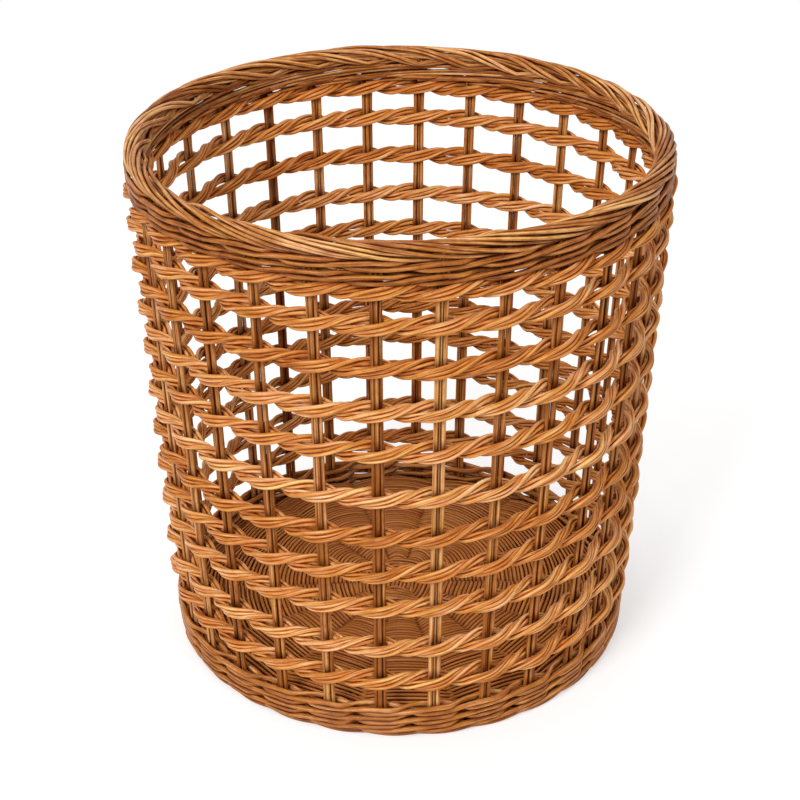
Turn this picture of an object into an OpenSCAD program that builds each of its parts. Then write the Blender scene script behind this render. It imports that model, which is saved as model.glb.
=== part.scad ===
// Open-weave wicker wastebasket, in millimetres, standing on z = 0 with its axis on z.
// A round base woven over crossed sticks carries upright stakes of three slim rods each. A hoop and two
// rounds of three-rod wale hold the foot, twined rows with open gaps between them make the wall, two more
// rounds of wale close the mouth, and the ends of the stakes are turned down over one another as the border.

/* [Body] */
// Overall height, from the ground to the crest of the border
basket_h = 311; // [296:1:326]
// Diameter of the circle on which the stakes stand, at the ground
foot_circle_d = 263; // [250:1:272]
// Diameter of the circle that the leaning stakes reach at the crest
mouth_circle_d = 293; // [280:1:306]

/* [Base] */
// Sticks crossed in the middle of the base; each of them carries four stakes
base_sticks = 7; // [6:1:8]
// Diameter of a base stick
base_stick_d = 4.4; // [3.8:0.1:5]
// Height of the middle of the base above the ground
base_z = 9.8; // [9.2:0.1:13]
// Rounds woven over and under the base sticks
base_rounds = 12; // [9:1:14]
// Thickness of the flat base weavers
base_weaver_t = 2.2; // [1.6:0.1:2.6]

/* [Stakes] */
// Rods standing side by side in each stake
stake_rods = 3; // [2:1:3]
// Diameter of a stake rod at its butt, in the foot
stake_butt_d = 2.7; // [2.3:0.1:3]
// Diameter of a stake rod at its tip, under the border
stake_tip_d = 2.1; // [1.7:0.1:2.4]

/* [Twined rows] */
// Open rows of twining between the two bands of wale
rows = 11; // [8:1:12]
// Clear lift from the foot wale to the middle of the lowest row
first_row_lift = 19.2; // [14:0.2:24]
// Share of a full step that is left between the two topmost rows
top_row_share = 0.76; // [0.7:0.02:1]
// Height of a weaver, three rods laid one above the other
weaver_h = 4.9; // [3.8:0.1:5.6]
// Thickness of a weaver
weaver_t = 2.2; // [1.8:0.1:2.6]

/* [Wale and foot] */
// Thickness of a wale rod, measured towards the axis
wale_t = 2.2; // [1.8:0.1:2.5]
// Height between neighbouring wale rods in the foot
foot_wale_step = 4.4; // [4:0.1:5]
// Height between neighbouring wale rods under the border
mouth_wale_step = 3.7; // [3.4:0.1:4]
// Diameter of the hoop rod under the foot
hoop_d = 4.4; // [3.8:0.1:5]

/* [Border] */
// Width of a border strand, three rods laid side by side
strand_w = 4.5; // [3.9:0.1:4.7]
// Thickness of a border strand
strand_t = 2.1; // [1.8:0.1:2.2]

/* [Hidden] */
$fn = 48;
// Free space that woven pieces keep from one another
clearance = 0.15;
rod_gap = 0.1;
stakes = 4 * base_sticks;
pitch_a = 360 / stakes;
wale_rounds = 2;

// Foot: a hoop ground flat underneath, with the wale and the butts of the stakes on top of it
hoop_z = 0.34 * hoop_d;
stake_foot_z = hoop_z + hoop_d / 2 + clearance;
foot_wale_h = foot_wale_step / 2 - 2 * rod_gap;
foot_wale_z = stake_foot_z + foot_wale_h / 2;
foot_wale_top = foot_wale_z + (2 * wale_rounds - 1) * foot_wale_step + foot_wale_h / 2;

// Border: strands lie round a hollow core that sits just inside the stake circle
core_r = 6;
border_inset = 3.4;
strand_turns = [222, 140, 75, 10];
strand_stops = [1, 2, 3, 3.8];
border_rise = max([for (turn = strand_turns)
    (core_r + strand_t / 2) * sin(turn) + strand_w / 2 * abs(cos(turn))]);
border_z = basket_h - border_rise;

// Mouth wale hangs under the border, and the topmost twined row hangs under that
mouth_wale_h = mouth_wale_step / 2 - rod_gap;
mouth_wale_top = border_z + core_r * sin(strand_turns[3]) - strand_w / 2 - 4 * clearance;
mouth_wale_z = mouth_wale_top - mouth_wale_h / 2 - (2 * wale_rounds - 1) * mouth_wale_step;
row_swing = (weaver_h + clearance) / 2;
first_row_z = foot_wale_top + first_row_lift;
top_row_z = mouth_wale_z - mouth_wale_h / 2 - 2 * clearance - row_swing - weaver_h / 2;
row_step = (top_row_z - first_row_z) / (rows - 2 + top_row_share);

// The tail of a stake starts just above the mouth wale's inner rods
tail_h = 3.4;
tail_z = mouth_wale_z + 2 * (wale_rounds - 1) * mouth_wale_step + (mouth_wale_step + mouth_wale_h) / 2
       + 5 * clearance + tail_h / 2;

// Base: sticks laid in lanes, some of them slit so that the others pass through
slit_sticks = ceil(base_sticks / 2);
through_sticks = base_sticks - slit_sticks;
knee_d = base_stick_d + 0.3;
lane = knee_d + clearance;
slit_h = base_stick_d / 2;
slath_a = pitch_a / 2 * (slit_sticks % 2 == 0 ? -1 : 1);
base_edge_r = wall_r(base_z) * cos(pitch_a / 2) - wale_t / 2 - 2 * clearance;
weave_start_r = 20;
weave_end_r = wall_r(base_z) - 4.5;
round_step = (weave_end_r - weave_start_r) / base_rounds;
round_w = round_step - 2 * clearance;

function two(k) = k < 10 ? str("0", k) : str(k);

// Point at radius r and height z, with angle a counted from the front towards the viewer's right
function at(r, a, z) = [r * sin(a), -r * cos(a), z];

function wall_r(z) = (foot_circle_d + (mouth_circle_d - foot_circle_d) * z / basket_h) / 2;
function stake_a(k) = (k - 1) * pitch_a;
function stake_d(z) = stake_butt_d + (stake_tip_d - stake_butt_d) * z / basket_h;
function stake_half_w(z) = stake_rods * (stake_d(z) + rod_gap) / 2;
function row_z(k) = k == rows ? top_row_z : first_row_z + (k - 1) * row_step;

// Distance from the stake circle at which a twined weaver clears the stakes, and a wale rod on either side
function weaver_off(z) = stake_d(z) / 2 + clearance + weaver_t / 2;
function wale_off(z, side) = (stake_d(z) / 2 + clearance + wale_t / 2)
    / (1 - 2 * stake_half_w(z) / (wall_r(z) * pitch_a * PI / 180)) + side * stake_half_w(z) * tan(pitch_a / 2);

// Four corners of a strand: off the leaning wall, upright over the base, or turned round the border's core
corners = [[-1, -1], [1, -1], [1, 1], [-1, 1]];
function wall_section(off, a, z, t, h, chord_a = 0) = [for (c = corners)
    at((wall_r(z + c[1] * h / 2) + off + c[0] * t / 2) / cos(chord_a), a, z + c[1] * h / 2)];
function flat_section(r, a, z, w, t) = [for (c = corners) at(r + c[0] * w / 2, a, z + c[1] * t / 2)];
function turned_section(r, a, z, turn, t, w) = [for (c = corners)
    at(r - c[0] * t / 2 * cos(turn) + c[1] * w / 2 * sin(turn), a,
       z - c[0] * t / 2 * sin(turn) - c[1] * w / 2 * cos(turn))];

// Skin between consecutive sections, and the lids of a strand that has ends
function skin(n, spans) = [for (i = [0 : spans - 1], j = [0 : 3])
    let (a = 4 * i, b = 4 * ((i + 1) % n), k = (j + 1) % 4)
    each [[a + j, a + k, b + k], [a + j, b + k, b + j]]];
function lids(n) = let (e = 4 * n - 4) [[0, 3, 2], [0, 2, 1], [e, e + 1, e + 2], [e, e + 2, e + 3]];

module closed_strand(sections) {
    n = len(sections);
    polyhedron([for (s = sections) each s], skin(n, n), convexity = 12);
}

module open_strand(sections) {
    n = len(sections);
    polyhedron([for (s = sections) each s], concat(skin(n, n - 1), lids(n)), convexity = 6);
}

// Straight tapered rod from p to q
module rod(p, q, d1, d2) {
    v = q - p;
    translate(p)
        rotate([0, acos(v[2] / norm(v)), atan2(v[1], v[0])])
            cylinder(h = norm(v), d1 = d1, d2 = d2);
}

// Base stick, straight through the middle and fanned out to its two arms; lane_x is its place in the bundle
module bent_stick(lane_x, fan_a, half) {
    knees = [[lane_x, half, 0], [lane_x, -half, 0]];
    rod(knees[0], knees[1], base_stick_d, base_stick_d);
    rod(knees[0], at(base_edge_r, 180 - fan_a, 0), base_stick_d, base_stick_d);
    rod(knees[1], at(base_edge_r, fan_a, 0), base_stick_d, base_stick_d);
    for (p = knees)
        translate(p) rotate(fan_a > 0 ? 180 : 0) sphere(d = knee_d);
}

// Slit stick, with a window for the sticks that pass through it
module slit_stick(lane_n) {
    reach = through_sticks * lane / 2;
    difference() {
        bent_stick(lane_n * lane, lane_n * 2 * pitch_a, reach + 1.4);
        cube([2 * slit_sticks * lane, 2 * reach + 2 * clearance, slit_h], center = true);
    }
}

// Stick pared thin in the middle, where it passes through the slits
module pared_stick(lane_n) {
    reach = slit_sticks * lane / 2;
    thin = slit_h - 2 * clearance;
    rotate(90)
        difference() {
            bent_stick(lane_n * lane, lane_n * 2 * pitch_a, reach + 1.4);
            for (side = [-1, 1])
                translate([0, 0, side * (thin + base_stick_d) / 2])
                    cube([2 * base_sticks * lane, 2 * reach, base_stick_d], center = true);
        }
}

module base_stick(k) {
    color("burlywood")
        translate([0, 0, base_z])
            rotate(slath_a)
                if (k <= slit_sticks)
                    slit_stick(k - (slit_sticks + 1) / 2);
                else
                    pared_stick(k - slit_sticks - (through_sticks + 1) / 2);
}

// Height at which a base weaver passes a stick without pinching it, steeper where the arms crowd together
function over_z(r) = base_weaver_t / 2 + (base_stick_d / 2 + 3 * clearance)
    * sqrt(1 + pow((base_stick_d / 2 + base_weaver_t) / ((r - round_w / 2) * sin(pitch_a)), 2));

module base_weave() {
    color("peru")
        for (i = [0 : base_rounds - 1])
            let (r = weave_start_r + (i + 0.5) * round_step)
                closed_strand([for (k = [0 : 2 * base_sticks - 1])
                    flat_section(r, (2 * k + 0.5) * pitch_a,
                                 base_z + ((k + i) % 2 == 0 ? 1 : -1) * over_z(r),
                                 round_w, base_weaver_t)]);
}

module foot_hoop() {
    color("sienna")
        rotate_extrude($fn = 96)
            difference() {
                translate([wall_r(0), hoop_z]) circle(d = hoop_d);
                translate([wall_r(0) - hoop_d, -hoop_d]) square([2 * hoop_d, hoop_d]);
            }
}

// One round of wale: every rod passes outside two stakes, low then high, and inside the third
module wale_round(z, step, h) {
    loops = stakes % 3 == 0 ? 3 : 1;
    lift = [0, step, step / 2];
    for (k = [0 : loops - 1])
        closed_strand([for (i = [0 : stakes * 3 / loops - 1])
            let (u = (i + k) % 3)
            let (side = u == 2 ? -1 : 1)
            wall_section(side * wale_off(z, side), i * pitch_a, z + lift[u], wale_t, h)]);
}

module foot_wale(k) {
    color("chocolate")
        wale_round(foot_wale_z + 2 * (k - 1) * foot_wale_step, foot_wale_step, foot_wale_h);
}

module mouth_wale(k) {
    color("chocolate")
        wale_round(mouth_wale_z + 2 * (k - 1) * mouth_wale_step, mouth_wale_step, mouth_wale_h);
}

// Two weavers that trade places between stakes: each rises as it crosses outside a stake, falls inside the next
module row(k) {
    z = row_z(k);
    color("peru")
        for (lead = [0, 1])
            closed_strand([for (i = [1 : stakes], e = [-1, 1])
                let (side = (i + lead) % 2 == 0 ? 1 : -1)
                wall_section(side * weaver_off(z), stake_a(i) + e * pitch_a / 4,
                             z + side * e * row_swing, weaver_t, weaver_h, pitch_a / 4)]);
}

// Stake rods, and the tail that turns inside the next stake, over the crest and down on the outside
module stake(k) {
    a = stake_a(k);
    foot_w = stake_d(0) + rod_gap;
    head_w = stake_d(tail_z) + rod_gap;
    mid_r = wall_r(border_z) - border_inset;
    color("goldenrod") {
        rotate(a)
            for (n = [0 : stake_rods - 1])
                let (lane_n = n - (stake_rods - 1) / 2)
                    rod([lane_n * foot_w, -wall_r(stake_foot_z), stake_foot_z],
                        [lane_n * head_w, -wall_r(tail_z), tail_z], stake_butt_d, stake_tip_d);
        open_strand(concat(
            [turned_section(wall_r(tail_z), a - 0.14 * pitch_a, tail_z, 180, strand_t, tail_h)],
            [for (s = [0 : 3])
                let (turn = strand_turns[s])
                turned_section(mid_r + core_r * cos(turn), a + strand_stops[s] * pitch_a,
                               border_z + core_r * sin(turn), turn, strand_t, strand_w)]));
    }
}

for (k = [1 : base_sticks])
    base_stick(k);
base_weave();
foot_hoop();
for (k = [1 : wale_rounds])
    foot_wale(k);
for (k = [1 : stakes])
    stake(k);
for (k = [1 : rows])
    row(k);
for (k = [1 : wale_rounds])
    mouth_wale(k);
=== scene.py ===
"""Looks of an open-weave wicker wastebasket, with each willow rod drawn by itself.

Lengths are in millimetres and angles in degrees. An angle round the basket counts from the front
towards the viewer's right, and MM turns a length into the metres of the frame.
"""
import math
import random

import bpy
import numpy as np
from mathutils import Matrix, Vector, kdtree


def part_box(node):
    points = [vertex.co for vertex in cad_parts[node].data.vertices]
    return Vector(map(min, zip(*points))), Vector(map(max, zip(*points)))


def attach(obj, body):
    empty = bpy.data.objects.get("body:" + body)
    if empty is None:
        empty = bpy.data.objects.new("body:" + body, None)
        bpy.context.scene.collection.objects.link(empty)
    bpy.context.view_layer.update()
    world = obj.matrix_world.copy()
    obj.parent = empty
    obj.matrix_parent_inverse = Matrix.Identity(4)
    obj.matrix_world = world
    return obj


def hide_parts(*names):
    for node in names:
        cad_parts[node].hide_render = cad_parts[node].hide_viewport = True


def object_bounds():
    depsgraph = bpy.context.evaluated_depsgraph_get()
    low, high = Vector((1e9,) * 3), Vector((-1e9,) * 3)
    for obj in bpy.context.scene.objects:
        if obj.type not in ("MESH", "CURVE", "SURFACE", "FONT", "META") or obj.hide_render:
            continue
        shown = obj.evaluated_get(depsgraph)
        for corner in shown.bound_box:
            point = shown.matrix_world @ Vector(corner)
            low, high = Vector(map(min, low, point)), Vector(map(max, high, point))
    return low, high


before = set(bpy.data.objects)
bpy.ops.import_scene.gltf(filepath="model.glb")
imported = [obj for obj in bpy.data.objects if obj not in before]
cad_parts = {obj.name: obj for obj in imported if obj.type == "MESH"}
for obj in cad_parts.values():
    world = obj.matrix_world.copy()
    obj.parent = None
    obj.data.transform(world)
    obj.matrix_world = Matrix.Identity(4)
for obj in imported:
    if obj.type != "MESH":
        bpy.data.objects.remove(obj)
cad_low, cad_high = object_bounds()

MM = 0.001


def node_names(start):
    return sorted(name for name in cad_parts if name.startswith(start))


def node_heights(name):
    """Lowest and highest point of a node."""
    low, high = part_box(name)
    return low.z / MM, high.z / MM


# Sizes that the frame gives
STAKE_NODES = node_names("stake_")
ROW_NODES = node_names("row_")
BASKET_H = cad_high.z / MM
STAKES = len(STAKE_NODES)
PITCH = 360 / STAKES

# The stakes lean outwards, from the foot circle to the crest circle
FOOT_R = 131.5
CREST_R = 146.5
STAKE_FOOT_Z = 4.7
STAKE_BUTT_R = 1.36
STAKE_TIP_R = 1.2
STAKE_RIDGE = 0.7  # depth of the middle rod and, the other way, of the two beside it
STAKE_SQUEEZE = 0.2  # share by which the three rods close up
STAKE_UNEVEN = (0.1, 0.15)  # along the round and outwards

# Twined rows: two weavers of five rods, which hang a little off the rows of the frame. Each rod has
# its place in the weaver, height and depth in rod radii
ROW_ROD_R = 1.16
ROW_PLACES = [(-2, 0.87), (0, 0.87), (2, 0.87), (-1, -0.87), (1, -0.87)]
ROW_DRIFT = [0.5, -1.6, 0.8, 0, -2.4, -2, 1, 0.2, 0.7, 0.3, 0.6]
ROW_OUT = 0.5  # middle of the row, out from the wall
ROW_CLEAR = 4.3  # middle of a weaver at a stake, out from the middle of the row
ROW_SNUG = 0.4  # how closely a weaver keeps to the wall between two stakes
ROW_SWING = 2.35  # rise above and fall below the row's middle
ROW_STRAIGHT = 0.9  # from a wave at 0 towards straight runs at 1
ROW_DIP = 0.35  # lift at the stakes and drop between them
ROW_LATE = 0.28  # how late the weaver rolls over
ROW_FILL = -0.2  # depth added to the back rods where the weavers cross
ROW_DRAW = 0.12  # share by which the rods close up there
ROW_SAG = 0.7
WEAVER_UNEVEN = (0.5, 0.35, 12)  # upwards, outwards and, in degrees, in its roll
ROW_ROD_UNEVEN = (0.12, 0.15)  # upwards and outwards

# Wale rods, and the two rods rolled round each other under the foot
FOOT_WALE_R = 1.5
FOOT_WALE_STEP = 3.1
FOOT_WALE_Z = 4.3
MOUTH_WALE_R = 1.43
MOUTH_WALE_STEP = 3.7
WALE_CLEAR = 0.1
WALE_BUTT = 1.06  # share of the wale's radius at the thick end of a rod
WALE_TAPER = 0.14
WALE_UNEVEN = (0.3, 0.22)  # upwards and outwards
ROLL_ROD_R = 1.6
ROLL_R = 1.15
ROLL_OUT = 1.8
ROLL_UNEVEN = 0.12
HOOP_R = 2.0
HOOP_INSET = 4
HOOP_LIFT = 1.2
GROUND_CLEAR = 0.05

# Border: two tails of each stake go up inside, over a hollow core and down outside, side by side, and
# run on hidden in the core. Their turns round the core are given at stakes on from their own
CORE_R = 5.1
CORE_INSET = 2.0
CORE_Z = BASKET_H - 6.6
TAIL_Z = CORE_Z - 1.2
STAKE_TOP_Z = TAIL_Z - 8
TAIL_ROD_R = 1.17
TAIL_END_R = 1.0
TAIL_LANE = 2.45
TAIL_TURNS = [(1, 225), (1.5, 172), (2.1, 115), (3, 66), (3.9, 16), (5, -46), (9, -290)]
TAIL_SEEN = 5.0
TAIL_HIDDEN = 4.0
TAIL_SINK = 1.8
TAIL_UNEVEN = (9, 0.8)  # turn in degrees, and distance from the core's middle

# The third tail is tucked behind the wale: stakes on, distance out from the wall, and height
TUCKED_TAIL = [(0.4, -2.2, TAIL_Z - 4.6), (1, -2.6, TAIL_Z - 5.8), (2.3, -2.6, TAIL_Z - 8.6),
               (3.8, -2.6, TAIL_Z - 11.9), (5.2, -2.6, TAIL_Z - 15)]
TUCK_UNEVEN = (0.5, 0.65)  # outwards and upwards

# Base: crossed sticks, some slit for the others, which are pared thin. Thin rods are woven round them,
# over and under groups of sticks at first, hugging the oblong crossing, and slimmer towards the edge
BASE_Z = 9.8
BASE_CROWN = 3.0
CROWN_R = 106
SLIT_STICKS = 4
PARED_STICKS = 3
STICK_R = 2.2
STICK_TAPER = 0.12
STICK_END_R = 128.2
STICK_KNEE = 1.4  # where a stick starts to fan out, beyond the crossing
STRIP_R = 1.15  # half the width of a strip
STRIP_RISE = 2.2  # way along a slit stick on which its strips part
LANE = 4.85  # between two sticks side by side
CROSSING_A = -PITCH / 2
FLOOR_ROD_R = 1.28
FLOOR_START_R = 11.24
FLOOR_END_R = 126.4
FLOOR_ROUNDS = 46
FLOOR_CLEAR = 0.1
FLOOR_SWAY = 0.5
FLOOR_UNEVEN = (0.2, 0.3)  # outwards and upwards
FLOOR_SLIM = 0.28
SLIM_R = 66
GROUP_ROUNDS = 5
HUG_WAY = 18
HUG_IN = 2


def at(r, a, z):
    """Point at radius r, angle a and height z."""
    a = math.radians(a)
    return (r * math.sin(a), -r * math.cos(a), z)


def wall_r(z):
    return FOOT_R + (CREST_R - FOOT_R) * z / BASKET_H


def stake_rod_r(z):
    return STAKE_BUTT_R + (STAKE_TIP_R - STAKE_BUTT_R) * z / BASKET_H


def smooth(x):
    """Eased step from 0 to 1."""
    x = min(max(x, 0), 1)
    return x * x * (3 - 2 * x)


def through(keys, x):
    """Smooth curve through (x, value) keys."""
    last = len(keys) - 2
    i = next((n for n in range(last) if x < keys[n + 1][0]), last)
    (x0, v0), (x1, v1) = keys[i], keys[i + 1]
    span = x1 - x0
    slopes = []
    for n in (i, i + 1):
        before, after = keys[max(n - 1, 0)], keys[min(n + 1, len(keys) - 1)]
        slopes.append((after[1] - before[1]) / (after[0] - before[0]) * span)
    t = (x - x0) / span
    return ((2 * t**3 - 3 * t**2 + 1) * v0 + (t**3 - 2 * t**2 + t) * slopes[0]
            + (3 * t**2 - 2 * t**3) * v1 + (t**3 - t**2) * slopes[1])


def wander(rng, size, knots):
    """Gentle unevenness of handwork, as a function of the share of the way along a rod."""
    values = [rng.uniform(-size, size) for _ in range(knots)]

    def uneven(share):
        x = share * knots
        i = math.floor(x)
        t = x - i
        a, b, c, d = (values[(i + n) % knots] for n in range(4))
        return b + 0.5 * t * (c - a + t * (2 * a - 5 * b + 4 * c - d + t * (3 * (b - c) + d - a)))

    return uneven


# Finishes

def add_node(tree, kind, inputs=None, **settings):
    """New shader node with its settings, and its inputs given as values or as sockets to link."""
    node = tree.nodes.new("ShaderNode" + kind)
    for key, value in settings.items():
        setattr(node, key, value)
    for key, value in (inputs or {}).items():
        if isinstance(value, bpy.types.NodeSocket):
            tree.links.new(value, node.inputs[key])
        else:
            node.inputs[key].default_value = value
    return node


def calc(tree, operation, *values):
    """Result of a Math node."""
    return add_node(tree, "Math", dict(enumerate(values)), operation=operation).outputs[0]


def mix_colors(tree, factor, a, b, blend="MIX"):
    """Result of a colour Mix node."""
    node = add_node(tree, "Mix", {0: factor, 6: a, 7: b}, data_type="RGBA", blend_type=blend)
    return node.outputs[2]


def ramp(tree, value, low, high, at_low=0.0, at_high=1.0, **settings):
    """Result of a Map Range node."""
    inputs = {"Value": value, 1: low, 2: high, 3: at_low, 4: at_high}
    return add_node(tree, "MapRange", inputs, **settings).outputs[0]


def make_grain():
    """Streaks, blotches and leaf scars along a rod, pith on its cut ends, and painted shade between
    rods, standing in for their shadow and the stain in the gaps.
    """
    group = bpy.data.node_groups.new("willow grain", "ShaderNodeTree")
    for name, kind in (("Along", "Vector"), ("Tone", "Float"), ("Cut", "Float"), ("Nestled", "Float"),
                       ("Deep", "Color"), ("Mid", "Color"), ("Pale", "Color"), ("GapShade", "Color")):
        group.interface.new_socket(name, in_out="INPUT", socket_type="NodeSocket" + kind)
    for name, kind in (("Color", "Color"), ("Roughness", "Float"), ("Height", "Float")):
        group.interface.new_socket(name, in_out="OUTPUT", socket_type="NodeSocket" + kind)
    given = group.nodes.new("NodeGroupInput").outputs
    result = group.nodes.new("NodeGroupOutput").inputs

    # The rod's round is a circle in the noise, so the grain closes on itself
    along = add_node(group, "SeparateXYZ", {0: given["Along"]}).outputs
    turn = calc(group, "MULTIPLY", along[1], math.tau)
    ring = (calc(group, "COSINE", turn), calc(group, "SINE", turn))

    def noise(round_scale, long_scale, detail):
        place = add_node(group, "CombineXYZ", {
            0: calc(group, "MULTIPLY", ring[0], round_scale),
            1: calc(group, "MULTIPLY", ring[1], round_scale),
            2: calc(group, "MULTIPLY", along[0], long_scale),
        }).outputs[0]
        return add_node(group, "TexNoise", {"Vector": place, "Scale": 1.0, "Detail": detail,
                                            "Roughness": 0.6}).outputs[0]

    streak = noise(round_scale=1.5, long_scale=2.4, detail=3.0)
    blotch = noise(round_scale=0.35, long_scale=9.0, detail=2.0)
    fine = noise(round_scale=4.5, long_scale=30.0, detail=2.0)
    scar_noise = noise(round_scale=0.05, long_scale=7.0, detail=0.0)
    scar_place = calc(group, "ABSOLUTE", calc(group, "SUBTRACT", scar_noise, 0.5))
    scar = ramp(group, scar_place, 0.0, 0.012, 1.0, 0.0, interpolation_type="SMOOTHSTEP")

    shade = calc(group, "MULTIPLY_ADD", given["Tone"], 0.26, 0.52)
    for mark, weight in ((streak, 1.8), (blotch, 0.75), (fine, 0.3)):
        shade = calc(group, "MULTIPLY_ADD", calc(group, "SUBTRACT", mark, 0.5), weight, shade)
    shade = calc(group, "MULTIPLY_ADD", scar, -0.12, shade)
    color = mix_colors(group, ramp(group, shade, 0.0, 0.5), given["Deep"], given["Mid"])
    color = mix_colors(group, ramp(group, shade, 0.5, 1.0), color, given["Pale"])
    hue = ramp(group, noise(round_scale=0.3, long_scale=4.0, detail=1.0), 0.35, 0.65)
    rose, straw = (1.02, 0.97, 1.1, 1), (1.0, 1.0, 0.8, 1)
    color = mix_colors(group, 1.0, color, mix_colors(group, hue, rose, straw), "MULTIPLY")
    pith = mix_colors(group, fine, (0.62, 0.40, 0.20, 1), (0.85, 0.72, 0.52, 1))
    color = mix_colors(group, given["Cut"], color, pith)
    # Painted shade: near another rod the colour is multiplied by the finish's dark tint, for the shadow
    # and stain between rods
    gap_shaded = mix_colors(group, 1.0, color, given["GapShade"], "MULTIPLY")
    group.links.new(mix_colors(group, given["Nestled"], color, gap_shaded), result["Color"])

    rough = calc(group, "MULTIPLY_ADD", streak, -0.28, 0.56)
    group.links.new(calc(group, "MULTIPLY_ADD", given["Cut"], 0.3, rough), result["Roughness"])
    height = calc(group, "MULTIPLY_ADD", fine, 0.5, streak)
    group.links.new(calc(group, "MULTIPLY_ADD", scar, 0.25, height), result["Height"])
    return group


WILLOW_GRAIN = make_grain()


def willow(name, deep, mid, pale, gap_shade):
    """Stained willow under a satin varnish."""
    finish = bpy.data.materials.new(name)
    finish.use_nodes = True
    tree = finish.node_tree
    shader = tree.nodes["Principled BSDF"]
    grain = tree.nodes.new("ShaderNodeGroup")
    grain.node_tree = WILLOW_GRAIN
    for key, color in (("Deep", deep), ("Mid", mid), ("Pale", pale), ("GapShade", gap_shade)):
        grain.inputs[key].default_value = (*color, 1)
    tree.links.new(add_node(tree, "UVMap", uv_map="UVMap").outputs[0], grain.inputs["Along"])
    for key, attribute in (("Tone", "rod_tone"), ("Cut", "cut_end"), ("Nestled", "nestled")):
        source = add_node(tree, "Attribute", attribute_name=attribute)
        tree.links.new(source.outputs["Fac"], grain.inputs[key])
    tree.links.new(grain.outputs["Color"], shader.inputs["Base Color"])
    tree.links.new(grain.outputs["Roughness"], shader.inputs["Roughness"])
    bump = add_node(tree, "Bump", {"Strength": 0.35, "Distance": 0.25 * MM,
                                   "Height": grain.outputs["Height"]})
    tree.links.new(bump.outputs[0], shader.inputs["Normal"])
    shader.inputs["Specular IOR Level"].default_value = 0.14
    shader.inputs["Coat Weight"].default_value = 0.05
    shader.inputs["Coat Roughness"].default_value = 0.32
    return finish


# The last colour of each finish is the tint of the painted shade where rods touch
FINISHES = {
    "stake_willow": willow("stake willow", deep=(0.13, 0.026, 0.003), mid=(0.42, 0.140, 0.024),
                           pale=(0.83, 0.47, 0.19), gap_shade=(0.17, 0.05, 0.011)),
    "twining_willow": willow("twining willow", deep=(0.25, 0.052, 0.005), mid=(0.67, 0.250, 0.046),
                             pale=(0.97, 0.65, 0.32), gap_shade=(0.46, 0.18, 0.05)),
    "wale_willow": willow("wale willow", deep=(0.17, 0.036, 0.004), mid=(0.52, 0.186, 0.037),
                          pale=(0.88, 0.53, 0.24), gap_shade=(0.2, 0.06, 0.014)),
    "base_willow": willow("base willow", deep=(0.21, 0.044, 0.005), mid=(0.54, 0.186, 0.034),
                          pale=(0.84, 0.45, 0.15), gap_shade=(0.18, 0.055, 0.012)),
}


# Rods are curves with a round bevel, turned into meshes

GRAIN_LENGTH = 100
GRAIN_STARTS = 50
ROD_SIDES = 8
BORDER_Z = TAIL_Z - 12
BORDER_FADE = 6
woven = []


def rod(points, radii, closed=False):
    """Path of one rod, with one radius or a radius for each point."""
    if not isinstance(radii, list):
        radii = [radii] * len(points)
    return points, radii, closed


def make_piece(name, rods, rng, slot, *nodes, tone=0, spread=0.42, border_tone=0):
    """One piece of the basket from its rods, in place of the nodes that it stands for.

    The rods' tones spread round the piece's tone, and the border tone is added up in the border.
    """
    bpy.ops.object.select_all(action="DESELECT")
    bpy.ops.curve.primitive_nurbs_path_add()
    piece = bpy.context.object
    piece.name = name
    curve = piece.data
    curve.splines.clear()
    curve.bevel_depth = MM
    curve.bevel_resolution = ROD_SIDES // 2 - 2
    curve.use_fill_caps = True
    for number, (points, radii, closed) in enumerate(rods):
        if closed:
            start = rng.randrange(len(points))
            points = points[start:] + points[:start]
        spline = curve.splines.new("POLY")
        spline.points.add(len(points) - 1)
        for point, place, radius in zip(spline.points, points, radii):
            point.co = (place[0] * MM, place[1] * MM, place[2] * MM, 1)
            point.radius = radius
        spline.use_cyclic_u = closed
        spline.material_index = number
    bpy.ops.object.convert(target="MESH")
    bpy.ops.object.mode_set(mode="EDIT")
    bpy.ops.mesh.select_all(action="SELECT")
    bpy.ops.mesh.remove_doubles(threshold=0.001 * MM)
    bpy.ops.mesh.normals_make_consistent(inside=False)
    bpy.ops.object.mode_set(mode="OBJECT")
    bpy.ops.object.shade_smooth()
    lay_grain(piece.data, rods, rng, tone, spread, border_tone)
    piece.data.materials.clear()
    piece.data.materials.append(FINISHES[slot])
    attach(piece, "root")
    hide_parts(*nodes)
    woven.append((piece, rods))


def lay_grain(mesh, rods, rng, tone, spread, border_tone):
    """Each rod's own tone, its length along U, its round along V, and a mark on its cut ends."""
    faces = len(mesh.polygons)
    rod_of_face = np.empty(faces, np.int32)
    corners = np.empty(faces, np.int32)
    mesh.polygons.foreach_get("material_index", rod_of_face)
    mesh.polygons.foreach_get("loop_total", corners)
    lengths = np.array([sum(math.dist(p, q) for p, q in zip(points, points[1:]))
                        for points, _, _ in rods])
    starts = np.array([rng.uniform(0, GRAIN_STARTS) for _ in rods])
    tones = np.array([min(max(rng.gauss(0, spread), -1), 1) for _ in rods])
    tones += tone - tones.mean()

    grain = np.empty(2 * len(mesh.loops), np.float32)
    mesh.uv_layers["UVMap"].data.foreach_get("uv", grain)
    rod_of_corner = np.repeat(rod_of_face, corners)
    grain[0::2] = grain[0::2] * lengths[rod_of_corner] / GRAIN_LENGTH + starts[rod_of_corner]
    mesh.uv_layers["UVMap"].data.foreach_set("uv", grain)
    centers = np.empty(3 * faces, np.float32)
    mesh.polygons.foreach_get("center", centers)
    in_border = np.clip((centers[2::3] / MM - BORDER_Z) / BORDER_FADE, 0, 1)
    face_tones = tones[rod_of_face] + border_tone * in_border
    tone_mark = mesh.attributes.new("rod_tone", "FLOAT", "FACE")
    tone_mark.data.foreach_set("value", face_tones.astype(np.float32))
    cut = mesh.attributes.new("cut_end", "FLOAT", "FACE")
    cut.data.foreach_set("value", (corners == 3).astype(np.float32))
    mesh.polygons.foreach_set("material_index", np.zeros(faces, np.int32))


# Stakes, and the border that their tails make

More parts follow.
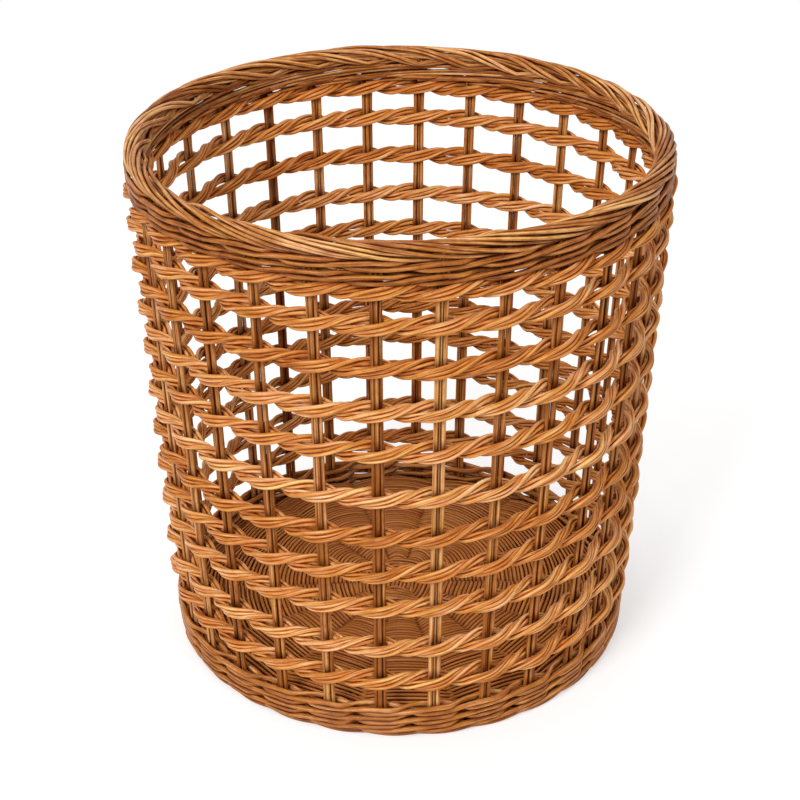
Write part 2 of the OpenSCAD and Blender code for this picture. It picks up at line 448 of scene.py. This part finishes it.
LANES = (-1, 0, 1)
PITCH_MM = math.radians(PITCH) * wall_r(TAIL_Z)
LANE_TURN = math.degrees(TAIL_LANE / CORE_R)
TAIL_STEPS = 16
TAIL_KNOTS = 9
STAKE_STEPS = 48
STAKE_KNOTS = 7
SETTLE = 0.1


def core_point(a, s, turn, rho):
    """Point on a tail, s stakes on from the stake at angle a, turned round the border's core."""
    turn = math.radians(turn)
    r = wall_r(CORE_Z) - CORE_INSET + rho * math.cos(turn)
    return at(r, a + s * PITCH, CORE_Z + rho * math.sin(turn))


def bent_points(a, bend):
    """Way of a rod through keys of stakes on from its own, distance out from the wall and height."""
    points = []
    steps = (len(bend) - 1) * TAIL_STEPS // 2
    for n in range(1, steps):
        x = n * (len(bend) - 1) / steps
        s, inset, z = (through([(i, key[c]) for i, key in enumerate(bend)], x) for c in range(3))
        points.append(at(wall_r(z) + inset, a + s * PITCH, z))
    return points


def tail_points(a, lane, rng):
    """A rod's way from its stake inside the next one, over the crest and down on the outside.

    The third rod is only tucked inside, behind the wale.
    """
    lane_s = lane * 2 * STAKE_TIP_R / PITCH_MM
    if lane > 0:
        loose, low = (rng.uniform(-size, size) for size in TUCK_UNEVEN)
        tucked = [(s, inset + loose, z + low) for s, inset, z in TUCKED_TAIL]
        return bent_points(a, [(lane_s, 0, STAKE_TOP_Z), (lane_s + 0.04, -0.8, TAIL_Z - 5.2)] + tucked)
    uneven_turn, uneven_rho = (wander(rng, size, TAIL_KNOTS) for size in TAIL_UNEVEN)
    seen = TAIL_SEEN - max(0, rng.uniform(-0.5, 0.6))
    end = seen + TAIL_HIDDEN

    def on_core(s):
        turn = through(TAIL_TURNS, s) + (lane + 0.5) * LANE_TURN + uneven_turn(s / end)
        sunk = TAIL_SINK * smooth(s - seen + 1)
        return turn, CORE_R + uneven_rho(s / end) - sunk - smooth(s - seen)

    turn, rho = on_core(1)
    turn = math.radians(turn)
    inside = (1.0, rho * math.cos(turn) - CORE_INSET, CORE_Z + rho * math.sin(turn))
    bend = [(lane_s, 0, STAKE_TOP_Z),
            (lane_s, 0, TAIL_Z - 3.4 - 1.2 * lane),
            (0.14 + 0.4 * lane_s, -0.9, TAIL_Z - 0.2 - 1.8 * lane),
            (0.48, -3.9, TAIL_Z - 1.2 - 2.0 * lane),
            inside]
    points = bent_points(a, bend)
    count = round((end - 1) * TAIL_STEPS)
    for n in range(count + 1):
        s = 1 + (end - 1) * n / count
        points.append(core_point(a, s, *on_core(s)))
    return points


def stake_rods(a, rng):
    """Three rods side by side, from the foot up the wall and on into the border."""
    rods = []
    ridge = rng.choice((-1, 1)) * STAKE_RIDGE
    for lane in LANES:
        lean, bow = (wander(rng, size, STAKE_KNOTS) for size in STAKE_UNEVEN)
        proud = ridge if lane == 0 else -ridge
        points, radii = [], []
        for n in range(STAKE_STEPS + 1):
            share = n / STAKE_STEPS
            z = STAKE_FOOT_Z + (STAKE_TOP_Z - STAKE_FOOT_Z) * share
            loose = 1 - smooth((share - (1 - SETTLE)) / SETTLE)
            across = 2 * lane * stake_rod_r(z) * (1 - STAKE_SQUEEZE * loose) + lean(share) * loose
            r = wall_r(z) + (proud + bow(share)) * loose
            points.append(at(r, a + math.degrees(across / r), z))
            radii.append(stake_rod_r(z))
        tail = tail_points(a, lane, rng)
        for n, point in enumerate(tail):
            points.append(point)
            radii.append(TAIL_ROD_R + (TAIL_END_R - TAIL_ROD_R) * n / len(tail))
        rods.append(rod(points, radii))
    return rods


for number, node in enumerate(STAKE_NODES):
    rng = random.Random(node)
    rods = stake_rods(number * PITCH, rng)
    make_piece("willow_" + node, rods, rng, "stake_willow", node, tone=rng.gauss(-0.08, 0.14),
               spread=0.35, border_tone=0.3)


# Twined rows

ROW_STEPS = 14
SAG_KNOTS = 5


def row_rods(z, rng):
    """Two weavers that trade places: each rises outside one stake and falls inside the next."""
    rods = []
    sag = wander(rng, ROW_SAG, SAG_KNOTS)
    for lead in (0, 1):
        lift, swell, lean = (wander(rng, size, STAKES) for size in WEAVER_UNEVEN)
        for high_place, deep_place in ROW_PLACES:
            own_lift, own_swell = (wander(rng, size, STAKES) for size in ROW_ROD_UNEVEN)
            points = []
            for n in range(STAKES * ROW_STEPS):
                share = n / (STAKES * ROW_STEPS)
                phase = math.pi * (n / ROW_STEPS + lead)
                out, up = math.cos(phase), math.sin(phase)
                roll = phase - ROW_LATE * math.sin(2 * phase) + math.radians(lean(share))
                in_place = deep_place + (ROW_FILL * up * up if deep_place < 0 else 0)
                up_place = high_place * (1 - ROW_DRAW * up * up)
                high = ROW_ROD_R * (up_place * math.cos(roll) + in_place * math.sin(roll))
                deep = ROW_ROD_R * (in_place * math.cos(roll) - up_place * math.sin(roll))
                rise = ROW_SWING * math.asin(ROW_STRAIGHT * up) / math.asin(ROW_STRAIGHT)
                rise += ROW_DIP * math.cos(2 * phase) + lift(share) + sag(share)
                here = z + rise + high + own_lift(share)
                snug = 1 - ROW_SNUG + ROW_SNUG * abs(out)
                off = ROW_OUT + (ROW_CLEAR + swell(share)) * out * snug
                r = wall_r(here) + off + deep + own_swell(share)
                points.append(at(r, share * 360, here))
            rods.append(rod(points, ROW_ROD_R * rng.uniform(0.94, 1.08), closed=True))
    return rods


for node, drift in zip(ROW_NODES, ROW_DRIFT):
    rng = random.Random(node)
    z = sum(node_heights(node)) / 2 + drift
    make_piece("twined_" + node, row_rods(z, rng), rng, "twining_willow", node, spread=0.3)


# Wale, which passes outside two stakes and inside the third

WALE_STEPS = 10
WALE_RODS = 5
WALE_KNOTS = 40


def wale_place(t):
    """Side, from 1 outside the stakes to -1 inside, and lift, from 0 to 1, t stakes along a rod."""
    u = t % 3
    side = 1 - 2 * smooth((u - 1.2) / 0.6) + 2 * smooth((u - 2.2) / 0.6)
    if u < 1:
        lift = 0.5 * (u + smooth(u))
    elif u < 2:
        lift = 1 - 0.5 * smooth((u - 1.3) / 0.6)
    else:
        lift = 0.5 - 0.5 * smooth((u - 2.1) / 0.6)
    return side, lift


def wale_rods(z, step, rod_r, rng):
    """One round of wale, of tapering rods that follow one another three times round."""
    rods = []
    way = 3 * STAKES
    for k in range(WALE_RODS):
        start = 3 * round(way * k / WALE_RODS / 3) - 1
        stop = 3 * round(way * (k + 1) / WALE_RODS / 3) - 0.7
        uneven_z, uneven_r = (wander(rng, size, WALE_KNOTS) for size in WALE_UNEVEN)
        count = round((stop - start) * WALE_STEPS)
        points, radii = [], []
        for n in range(count + 1):
            t = start + (stop - start) * n / count
            side, lift = wale_place(t)
            here = z + step * lift + uneven_z(n / count)
            off = side * (STAKE_RIDGE + stake_rod_r(z) + rod_r + WALE_CLEAR)
            points.append(at(wall_r(here) + off + uneven_r(n / count), t * PITCH, here))
            radii.append(rod_r * (WALE_BUTT - WALE_TAPER * n / count))
        rods.append(rod(points, radii))
    return rods


for node in node_names("mouth_wale_"):
    rng = random.Random(node)
    z = (sum(node_heights(node)) - MOUTH_WALE_STEP) / 2
    rods = wale_rods(z, MOUTH_WALE_STEP, MOUTH_WALE_R, rng)
    make_piece("willow_" + node, rods, rng, "wale_willow", node, tone=-1.0)

for node, rounds in zip(node_names("foot_wale_"), ((0, 1), (2,))):
    rng = random.Random(node)
    rods = []
    for number in rounds:
        z = FOOT_WALE_Z + 2 * FOOT_WALE_STEP * number
        rods += wale_rods(z, FOOT_WALE_STEP, FOOT_WALE_R, rng)
    make_piece("willow_" + node, rods, rng, "wale_willow", node, tone=-0.2)


HOOP_STEPS = 180


def roll_rods(rng):
    """Two rods rolled round each other under the foot, and a plain hoop inside them."""
    rods = []
    for lead in (0, 1):
        uneven = wander(rng, ROLL_UNEVEN, STAKES)
        points = []
        for n in range(STAKES * ROW_STEPS):
            phase = math.pi * (n / ROW_STEPS + lead + 0.5)
            share = n / (STAKES * ROW_STEPS)
            r = FOOT_R + ROLL_OUT + ROLL_R * math.cos(phase) + uneven(share)
            z = ROLL_ROD_R + ROLL_R * (1 + math.sin(phase)) + GROUND_CLEAR
            points.append(at(r, share * 360, z))
        rods.append(rod(points, ROLL_ROD_R, closed=True))
    hoop = [at(FOOT_R - HOOP_INSET, n * 360 / HOOP_STEPS, HOOP_R + HOOP_LIFT) for n in range(HOOP_STEPS)]
    rods.append(rod(hoop, HOOP_R, closed=True))
    return rods


rng = random.Random("foot_hoop")
make_piece("willow_foot_roll", roll_rods(rng), rng, "wale_willow", "foot_hoop")


# Base

STICK_STEPS = 20
STRIP_STEPS = 12


def base_z(r):
    """Height of the base, which curves down to the foot at its edge."""
    return BASE_Z - BASE_CROWN * smooth((r - CROWN_R) / (STICK_END_R - CROWN_R))


def turned(point, a):
    """Point turned about the basket's axis."""
    x, y, z = point
    c, s = math.cos(math.radians(a)), math.sin(math.radians(a))
    return (x * c - y * s, x * s + y * c, z)


def stick_rods(lane, slit):
    """A base stick from end to end, fanned out beyond the crossing, slit or pared thin in the middle."""
    crossing = (PARED_STICKS if slit else SLIT_STICKS) * LANE / 2
    knee = crossing + STICK_KNEE
    quarter = CROSSING_A + (0 if slit else 90)
    fan = lane * 2 * PITCH
    rods = []
    for side in (-1, 1):
        end = at(STICK_END_R, fan if side < 0 else 180 - fan, BASE_Z)
        points, radii = [], []
        for n in range(STICK_STEPS + 1):
            share = n / STICK_STEPS
            x = lane * LANE + (end[0] - lane * LANE) * share
            y = side * knee + (end[1] - side * knee) * share
            points.append(turned((x, y, base_z(math.hypot(x, y))), quarter))
            radii.append(STICK_R * (1 - STICK_TAPER * share))
        inner = [turned((lane * LANE, side * knee * share, BASE_Z), quarter) for share in (0.90, 0.97)]
        rods.append(rod(inner + points, [0.7 * STICK_R, 0.95 * STICK_R] + radii))
    for level in ((-1, 1) if slit else (0,)):
        for half in (-1, 1):
            points = []
            for n in range(STRIP_STEPS + 1):
                y = knee * (n / (STRIP_STEPS / 2) - 1)
                inward = smooth((knee - abs(y)) / STRIP_RISE)
                x = lane * LANE + half * STRIP_R
                points.append(turned((x, y, BASE_Z + level * 2 * STRIP_R * inward), quarter))
            rods.append(rod(points, STRIP_R * 1.1))
    return rods


def lanes(count, slit):
    """Places of sticks side by side, with a mark for those that are slit."""
    return [(n - (count - 1) / 2, slit) for n in range(count)]


stick_lanes = lanes(SLIT_STICKS, True) + lanes(PARED_STICKS, False)
for node, (lane, slit) in zip(node_names("base_stick_"), stick_lanes):
    rng = random.Random(node)
    make_piece("willow_" + node, stick_rods(lane, slit), rng, "base_willow", node)


ARMS = 2 * (SLIT_STICKS + PARED_STICKS)
FLOOR_STEPS = 8


def floor_r(r, share):
    """Radius of a woven round, which hugs the oblong crossing near the middle."""
    hug = max(0, 1 - (r - FLOOR_START_R) / HUG_WAY)
    power = 2 + 3 * hug
    turn = math.tau * (share + 1 / STAKES)
    along, across = abs(math.cos(turn)) / (r - HUG_IN * hug), abs(math.sin(turn)) / r
    return (along**power + across**power) ** (-1 / power)


def floor_rods(rng):
    """Thin rods woven in pairs over and under the sticks, from the crossing out to the foot."""
    rods = []
    height = STICK_R + FLOOR_ROD_R + FLOOR_CLEAR
    for k in range(FLOOR_ROUNDS):
        r = FLOOR_START_R + (FLOOR_END_R - FLOOR_START_R) * k / (FLOOR_ROUNDS - 1)
        for lead in (0, 1):
            uneven_r, uneven_z = (wander(rng, size, ARMS) for size in FLOOR_UNEVEN)
            points = []
            for n in range(ARMS * FLOOR_STEPS):
                share = n / (ARMS * FLOOR_STEPS)
                turns = 4 * (share + 1 / STAKES) if k < GROUP_ROUNDS else ARMS * share
                phase = math.pi * (turns + lead)
                over = math.cos(phase)
                here = floor_r(r, share) + FLOOR_SWAY * math.sin(phase) + uneven_r(share)
                z = base_z(r) + height * over * (1.25 - 0.25 * over * over) + uneven_z(share)
                points.append(at(here, 360 * share + PITCH / 2, z))
            slim = 1 - FLOOR_SLIM * smooth((r - SLIM_R) / (FLOOR_END_R - SLIM_R) * 2)
            rods.append(rod(points, FLOOR_ROD_R * slim * rng.uniform(0.92, 1.06), closed=True))
    return rods


# Painted shade: the rounds are darker towards the edge, where the wall shades the floor, two rods to a
# round
rng = random.Random("base_weave")
edge_shade_tones = [-0.15 - 0.75 * smooth((k / FLOOR_ROUNDS - 0.6) / 0.35) for k in range(FLOOR_ROUNDS)]
make_piece("willow_floor", floor_rods(rng), rng, "base_willow", "base_weave",
           tone=np.repeat(edge_shade_tones, 2), spread=0.6)


# Painted shade where rods touch, for their shadow and the stain in the gaps

GAP_SHADE_REACH = 1.2


def paint_gap_shade():
    """Mark each point of a rod's skin by how near another rod lies, for the painted shade between rods.
    """
    lines = []
    for _, rods in woven:
        for points, _, closed in rods:
            for p, q in zip(points, points[1:] + points[:1] if closed else points[1:]):
                steps = math.ceil(math.dist(p, q))
                lines += [[p[c] + (q[c] - p[c]) * n / steps for c in range(3)] for n in range(steps)]
    tree = kdtree.KDTree(len(lines))
    for number, point in enumerate(lines):
        tree.insert(point, number)
    tree.balance()
    for piece, _ in woven:
        nestled = []
        for vertex in piece.data.vertices:
            skin = vertex.co / MM
            own = tree.find(skin)[2]
            near = tree.find(skin + vertex.normal * GAP_SHADE_REACH)[2]
            nestled.append(smooth((own + GAP_SHADE_REACH - near) / GAP_SHADE_REACH))
        mark = piece.data.attributes.new("nestled", "FLOAT", "POINT")
        mark.data.foreach_set("value", nestled)


paint_gap_shade()


# Camera, light and floor

IMAGE_SIZE = 800
CAMERA_AIM_Z = 150
CAMERA_DISTANCE = 1091.5
CAMERA_RISE = 29.03
CAMERA_SIDE = 4.7
CAMERA_FOCUS_PX = 1854.5
CAMERA_AXIS_PX = (400.0, 388.2)


def place_camera():
    aim = Vector((0, 0, CAMERA_AIM_Z)) * MM
    rise = math.radians(CAMERA_RISE)
    back = Vector(at(math.cos(rise), CAMERA_SIDE, math.sin(rise)))
    bpy.ops.object.camera_add(location=aim + back * CAMERA_DISTANCE * MM)
    camera = bpy.context.object
    camera.rotation_euler = (-back).to_track_quat("-Z", "Y").to_euler()
    camera.data.lens = camera.data.sensor_width * CAMERA_FOCUS_PX / IMAGE_SIZE
    camera.data.shift_x = (IMAGE_SIZE / 2 - CAMERA_AXIS_PX[0]) / IMAGE_SIZE
    camera.data.shift_y = (CAMERA_AXIS_PX[1] - IMAGE_SIZE / 2) / IMAGE_SIZE
    bpy.context.scene.camera = camera


def add_softbox(name, place, size, power):
    place = Vector(place)
    bpy.ops.object.light_add(type="AREA", location=place)
    lamp = bpy.context.object
    lamp.name = name
    lamp.data.size = size
    lamp.data.energy = power
    lamp.rotation_euler = (Vector((0, 0, CAMERA_AIM_Z * MM)) - place).to_track_quat("-Z", "Y").to_euler()


def seen_share(tree):
    """1 for what the camera sees, straight or in a reflection, and 0 for light that falls on things."""
    light = tree.nodes.new("ShaderNodeLightPath").outputs
    seen = calc(tree, "MAXIMUM", light["Is Camera Ray"], light["Is Glossy Ray"])
    return calc(tree, "MAXIMUM", seen, light["Is Transmission Ray"])


def light_world(strength):
    world = bpy.data.worlds.new("studio")
    bpy.context.scene.world = world
    world.use_nodes = True
    tree = world.node_tree
    background = tree.nodes["Background"]
    background.inputs["Color"].default_value = (1, 1, 1, 1)
    level = calc(tree, "MULTIPLY_ADD", seen_share(tree), 1 - strength, strength)
    tree.links.new(level, background.inputs["Strength"])


def lay_floor(radius, fade_from, lift):
    """Pale floor, lifted to white round the foot, that keeps the shadow and fades into the backdrop."""
    bpy.ops.mesh.primitive_circle_add(vertices=128, radius=radius, fill_type="NGON")
    floor = bpy.context.object
    floor.name = "studio_floor"
    finish = bpy.data.materials.new("pale floor")
    finish.use_nodes = True
    tree = finish.node_tree
    tree.nodes.remove(tree.nodes["Principled BSDF"])
    matte = add_node(tree, "BsdfDiffuse", {"Color": (0.6, 0.6, 0.6, 1)})
    place = add_node(tree, "TexCoord").outputs["Object"]
    distance = add_node(tree, "VectorMath", {0: place}, operation="LENGTH").outputs["Value"]
    open_floor = ramp(tree, distance, FOOT_R * MM, (FOOT_R + 2) * MM, 0.0, lift)
    glow = add_node(tree, "Emission", {"Strength": calc(tree, "MULTIPLY", seen_share(tree), open_floor)})
    both = add_node(tree, "AddShader", {0: matte.outputs[0], 1: glow.outputs[0]})
    fade = ramp(tree, distance, fade_from, radius, interpolation_type="SMOOTHSTEP")
    clear = add_node(tree, "BsdfTransparent")
    blend = add_node(tree, "MixShader", {0: fade, 1: both.outputs[0], 2: clear.outputs[0]})
    tree.links.new(blend.outputs[0], tree.nodes["Material Output"].inputs["Surface"])
    floor.data.materials.append(finish)


place_camera()
light_world(strength=0.45)
add_softbox("key_softbox", (-2.2, -4.2, 3.4), size=2.0, power=230)
add_softbox("top_softbox", (-0.4, 0.6, 4.2), size=1.6, power=45)
add_softbox("fill_softbox", (3.4, -2.8, 2.4), size=2.5, power=52)
lay_floor(radius=1.2, fade_from=0.35, lift=0.5)
bpy.context.scene.view_settings.view_transform = "Standard"
